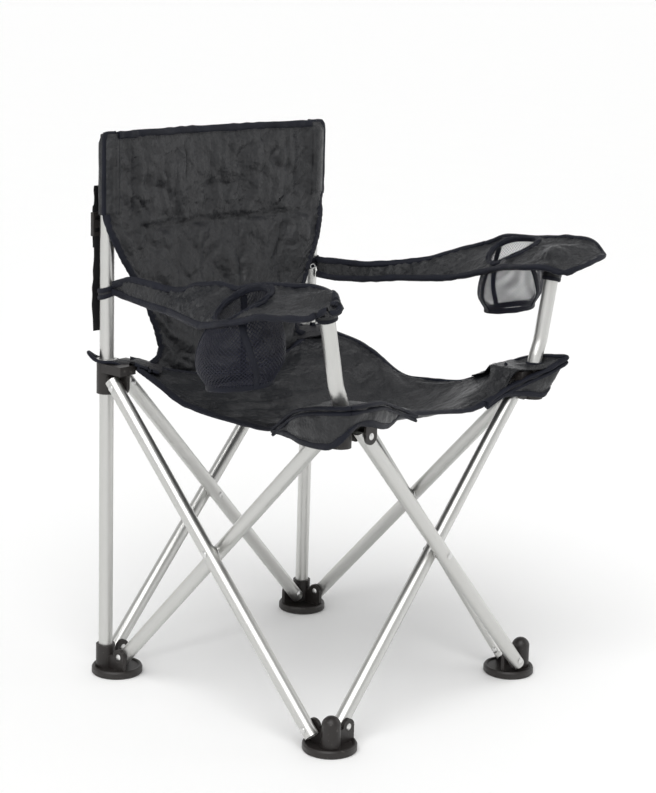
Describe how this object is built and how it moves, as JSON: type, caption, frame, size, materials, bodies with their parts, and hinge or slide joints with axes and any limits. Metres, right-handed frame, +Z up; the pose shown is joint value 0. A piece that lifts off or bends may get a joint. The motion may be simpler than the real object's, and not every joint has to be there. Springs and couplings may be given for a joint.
{
  "type": "quad-fold camp armchair",
  "caption": "Folding camp armchair: aluminium cross tubes, black plastic feet and hubs, charcoal fabric sling, mesh cup holders.",
  "frame": {"origin": "floor level, at the bottom centre of the whole chair's box, chair open", "axes": "+Z up, the chair faces -Y, +X is the sitter's left"},
  "size_m": [0.705, 0.561, 0.85],
  "materials": {
    "tube_aluminium": "satin",
    "rivet_aluminium": "satin",
    "black_plastic": "matte",
    "charcoal_fabric": "matte",
    "dark_binding": "matte",
    "black_mesh": "matte",
    "black_webbing": "matte"
  },
  "bodies": {
    "rear_right_post": {"foot_rear_right": "black_plastic", "foot_rivets_rear_right": "rivet_aluminium", "post_rear_right": "tube_aluminium", "sleeve_right": "charcoal_fabric", "back_panel": "charcoal_fabric", "strap_right": "black_webbing", "buckle_right": "black_plastic"},
    "right_inner_tube": {"tube_right_inner": "tube_aluminium", "cross_rivet_right": "rivet_aluminium"},
    "right_outer_tube": {"tube_right_outer": "tube_aluminium"},
    "front_inner_tube": {"tube_front_inner": "tube_aluminium"},
    "front_outer_tube": {"tube_front_outer": "tube_aluminium", "cross_rivet_front": "rivet_aluminium"},
    "left_inner_tube": {"tube_left_inner": "tube_aluminium"},
    "left_outer_tube": {"tube_left_outer": "tube_aluminium", "cross_rivet_left": "rivet_aluminium"},
    "back_inner_tube": {"tube_back_inner": "tube_aluminium"},
    "back_outer_tube": {"tube_back_outer": "tube_aluminium", "cross_rivet_back": "rivet_aluminium"},
    "rear_right_slider": {"slider_right": "black_plastic", "hub_rivets_rear_right": "rivet_aluminium", "wing_right": "dark_binding", "eyelet_right": "rivet_aluminium"},
    "rear_left_slider": {"slider_left": "black_plastic", "hub_rivets_rear_left": "rivet_aluminium", "wing_left": "dark_binding", "eyelet_left": "rivet_aluminium"},
    "front_right_hub": {"front_hub_right": "black_plastic", "hub_rivets_front_right": "rivet_aluminium", "arm_post_right": "tube_aluminium", "corner_pocket_right": "charcoal_fabric", "armrest_right": "charcoal_fabric", "cup_holder_right": "black_mesh"},
    "front_left_hub": {"front_hub_left": "black_plastic", "hub_rivets_front_left": "rivet_aluminium", "arm_post_left": "tube_aluminium", "corner_pocket_left": "charcoal_fabric", "armrest_left": "charcoal_fabric", "cup_holder_left": "black_mesh"},
    "front_right_foot": {"foot_front_right": "black_plastic", "foot_rivets_front_right": "rivet_aluminium"},
    "front_left_foot": {"foot_front_left": "black_plastic", "foot_rivets_front_left": "rivet_aluminium"},
    "rear_left_post": {"foot_rear_left": "black_plastic", "foot_rivets_rear_left": "rivet_aluminium", "post_rear_left": "tube_aluminium", "sleeve_left": "charcoal_fabric", "strap_left": "black_webbing", "buckle_left": "black_plastic"},
    "seat_right_quarter": {"seat_right": "charcoal_fabric"},
    "seat_front_quarter": {"seat_front": "charcoal_fabric"},
    "seat_left_quarter": {"seat_left": "charcoal_fabric"},
    "seat_back_quarter": {"seat_back": "charcoal_fabric"},
    "backrest_fold_upper": {"back_mid": "charcoal_fabric"},
    "backrest_fold_lower": {"back_lower": "charcoal_fabric"},
    "right_arm_strip": {"arm_strip_right": "charcoal_fabric"},
    "left_arm_strip": {"arm_strip_left": "charcoal_fabric"},
    "right_arm_loop": {"arm_loop_right": "charcoal_fabric"},
    "left_arm_loop": {"arm_loop_left": "charcoal_fabric"}
  },
  "joints": [
    {"name": "fold", "type": "hinge", "parent": "rear_right_post", "child": "right_inner_tube", "pos_m": [-0.2225, 0.2195, 0.033], "axis": [-1, 0, 0], "range_deg": [0, 38.5], "deforming": ["back_panel", "seat_right", "seat_front", "seat_left", "seat_back", "back_mid", "back_lower", "arm_strip_right", "arm_strip_left"]},
    {"name": "front_right_hub_pivot", "type": "hinge", "parent": "right_inner_tube", "child": "front_right_hub", "pos_m": [-0.2225, -0.1825, 0.468], "axis": [1, 0, 0], "range_deg": [0, 38.7]},
    {"name": "right_cross_pivot", "type": "hinge", "parent": "right_inner_tube", "child": "right_outer_tube", "pos_m": [-0.235, 0.0185, 0.2505], "axis": [1, 0, 0], "range_deg": [0, 77.2]},
    {"name": "rear_right_slider_pivot", "type": "hinge", "parent": "right_outer_tube", "child": "rear_right_slider", "pos_m": [-0.2475, 0.2195, 0.468], "axis": [-1, 0, 0], "range_deg": [0, 38.7]},
    {"name": "front_right_foot_pivot", "type": "hinge", "parent": "right_outer_tube", "child": "front_right_foot", "pos_m": [-0.2475, -0.1825, 0.033], "axis": [-1, 0, 0], "range_deg": [0, 38.7]},
    {"name": "rear_right_foot_pivot", "type": "hinge", "parent": "rear_right_post", "child": "back_outer_tube", "pos_m": [-0.201, 0.266, 0.033], "axis": [0, -1, 0], "range_deg": [0, 38.7]},
    {"name": "rear_left_slider_pivot", "type": "hinge", "parent": "back_outer_tube", "child": "rear_left_slider", "pos_m": [0.201, 0.266, 0.468], "axis": [0, 1, 0], "range_deg": [0, 38.7]},
    {"name": "back_cross_pivot", "type": "hinge", "parent": "back_outer_tube", "child": "back_inner_tube", "pos_m": [0, 0.2535, 0.2505], "axis": [0, 1, 0], "range_deg": [0, 77.2]},
    {"name": "rear_left_foot_pivot", "type": "hinge", "parent": "back_inner_tube", "child": "rear_left_post", "pos_m": [0.201, 0.241, 0.033], "axis": [0, -1, 0], "range_deg": [0, 38.7]},
    {"name": "front_outer_tube_pivot", "type": "hinge", "parent": "front_right_hub", "child": "front_outer_tube", "pos_m": [-0.201, -0.229, 0.468], "axis": [0, 1, 0], "range_deg": [0, 38.7]},
    {"name": "front_cross_pivot", "type": "hinge", "parent": "front_outer_tube", "child": "front_inner_tube", "pos_m": [0, -0.2165, 0.2505], "axis": [0, -1, 0], "range_deg": [0, 77.2]},
    {"name": "front_left_foot_pivot", "type": "hinge", "parent": "front_outer_tube", "child": "front_left_foot", "pos_m": [0.201, -0.229, 0.033], "axis": [0, -1, 0], "range_deg": [0, 38.7]},
    {"name": "front_left_hub_pivot", "type": "hinge", "parent": "front_inner_tube", "child": "front_left_hub", "pos_m": [0.201, -0.204, 0.468], "axis": [0, 1, 0], "range_deg": [0, 38.7]},
    {"name": "left_outer_tube_pivot", "type": "hinge", "parent": "rear_left_post", "child": "left_outer_tube", "pos_m": [0.2475, 0.2195, 0.033], "axis": [-1, 0, 0], "range_deg": [0, 38.7]},
    {"name": "left_cross_pivot", "type": "hinge", "parent": "left_outer_tube", "child": "left_inner_tube", "pos_m": [0.235, 0.0185, 0.2505], "axis": [1, 0, 0], "range_deg": [0, 77.2]},
    {"name": "seat_right_gather", "type": "hinge", "parent": "front_right_hub", "child": "seat_right_quarter", "pos_m": [-0.235, 0.0185, 0.5055], "axis": [0, 1, 0], "range_deg": [0, 59.71]},
    {"name": "seat_front_gather", "type": "hinge", "parent": "front_right_hub", "child": "seat_front_quarter", "pos_m": [0, -0.2165, 0.5055], "axis": [-1, 0, 0], "range_deg": [0, 59.71]},
    {"name": "seat_left_gather", "type": "hinge", "parent": "front_left_hub", "child": "seat_left_quarter", "pos_m": [0.235, 0.0185, 0.5055], "axis": [0, -1, 0], "range_deg": [0, 59.71]},
    {"name": "seat_back_gather", "type": "hinge", "parent": "rear_right_slider", "child": "seat_back_quarter", "pos_m": [0, 0.2535, 0.5055], "axis": [1, 0, 0], "range_deg": [0, 59.71]},
    {"name": "backrest_upper_fold", "type": "hinge", "parent": "rear_right_post", "child": "backrest_fold_upper", "pos_m": [0, 0.2475, 0.728], "axis": [-1, 0, 0], "range_deg": [0, 77.91]},
    {"name": "backrest_lower_fold", "type": "hinge", "parent": "rear_right_slider", "child": "backrest_fold_lower", "pos_m": [0, 0.2145, 0.466], "axis": [1, 0, 0], "range_deg": [0, 46.61]},
    {"name": "right_arm_strip_fold", "type": "hinge", "parent": "front_right_hub", "child": "right_arm_strip", "pos_m": [-0.296, -0.0365, 0.661], "axis": [-1, 0, 0], "range_deg": [0, 116.68]},
    {"name": "left_arm_strip_fold", "type": "hinge", "parent": "front_left_hub", "child": "left_arm_strip", "pos_m": [0.296, -0.0365, 0.661], "axis": [-1, 0, 0], "range_deg": [0, 116.68]},
    {"name": "right_arm_loop_slide", "type": "slide", "parent": "rear_right_post", "child": "right_arm_loop", "axis": [0, 0, 1], "range_m": [0, 0.095]},
    {"name": "left_arm_loop_slide", "type": "slide", "parent": "rear_left_post", "child": "left_arm_loop", "axis": [0, 0, 1], "range_m": [0, 0.095]}
  ],
  "couplings": [
    {"joint": "front_right_hub_pivot", "follows": "fold", "ratio": 1},
    {"joint": "right_cross_pivot", "follows": "fold", "ratio": 2},
    {"joint": "rear_right_slider_pivot", "follows": "fold", "ratio": 1},
    {"joint": "front_right_foot_pivot", "follows": "fold", "ratio": 1},
    {"joint": "rear_right_foot_pivot", "follows": "fold", "ratio": 1},
    {"joint": "rear_left_slider_pivot", "follows": "fold", "ratio": 1},
    {"joint": "back_cross_pivot", "follows": "fold", "ratio": 2},
    {"joint": "rear_left_foot_pivot", "follows": "fold", "ratio": 1},
    {"joint": "front_outer_tube_pivot", "follows": "fold", "ratio": 1},
    {"joint": "front_cross_pivot", "follows": "fold", "ratio": 2},
    {"joint": "front_left_foot_pivot", "follows": "fold", "ratio": 1},
    {"joint": "front_left_hub_pivot", "follows": "fold", "ratio": 1},
    {"joint": "left_outer_tube_pivot", "follows": "fold", "ratio": 1},
    {"joint": "left_cross_pivot", "follows": "fold", "ratio": 2},
    {"joint": "seat_right_gather", "follows": "fold", "ratio": 1.5457},
    {"joint": "seat_front_gather", "follows": "fold", "ratio": 1.5457},
    {"joint": "seat_left_gather", "follows": "fold", "ratio": 1.5457},
    {"joint": "seat_back_gather", "follows": "fold", "ratio": 1.5457},
    {"joint": "backrest_upper_fold", "follows": "fold", "ratio": 2.0185},
    {"joint": "backrest_lower_fold", "follows": "fold", "ratio": 1.2054},
    {"joint": "right_arm_strip_fold", "follows": "fold", "ratio": 3.0255},
    {"joint": "left_arm_strip_fold", "follows": "fold", "ratio": 3.0255},
    {"joint": "right_arm_loop_slide", "follows": "fold", "m_per_rad": 0.13989},
    {"joint": "left_arm_loop_slide", "follows": "fold", "m_per_rad": 0.13989}
  ]
}
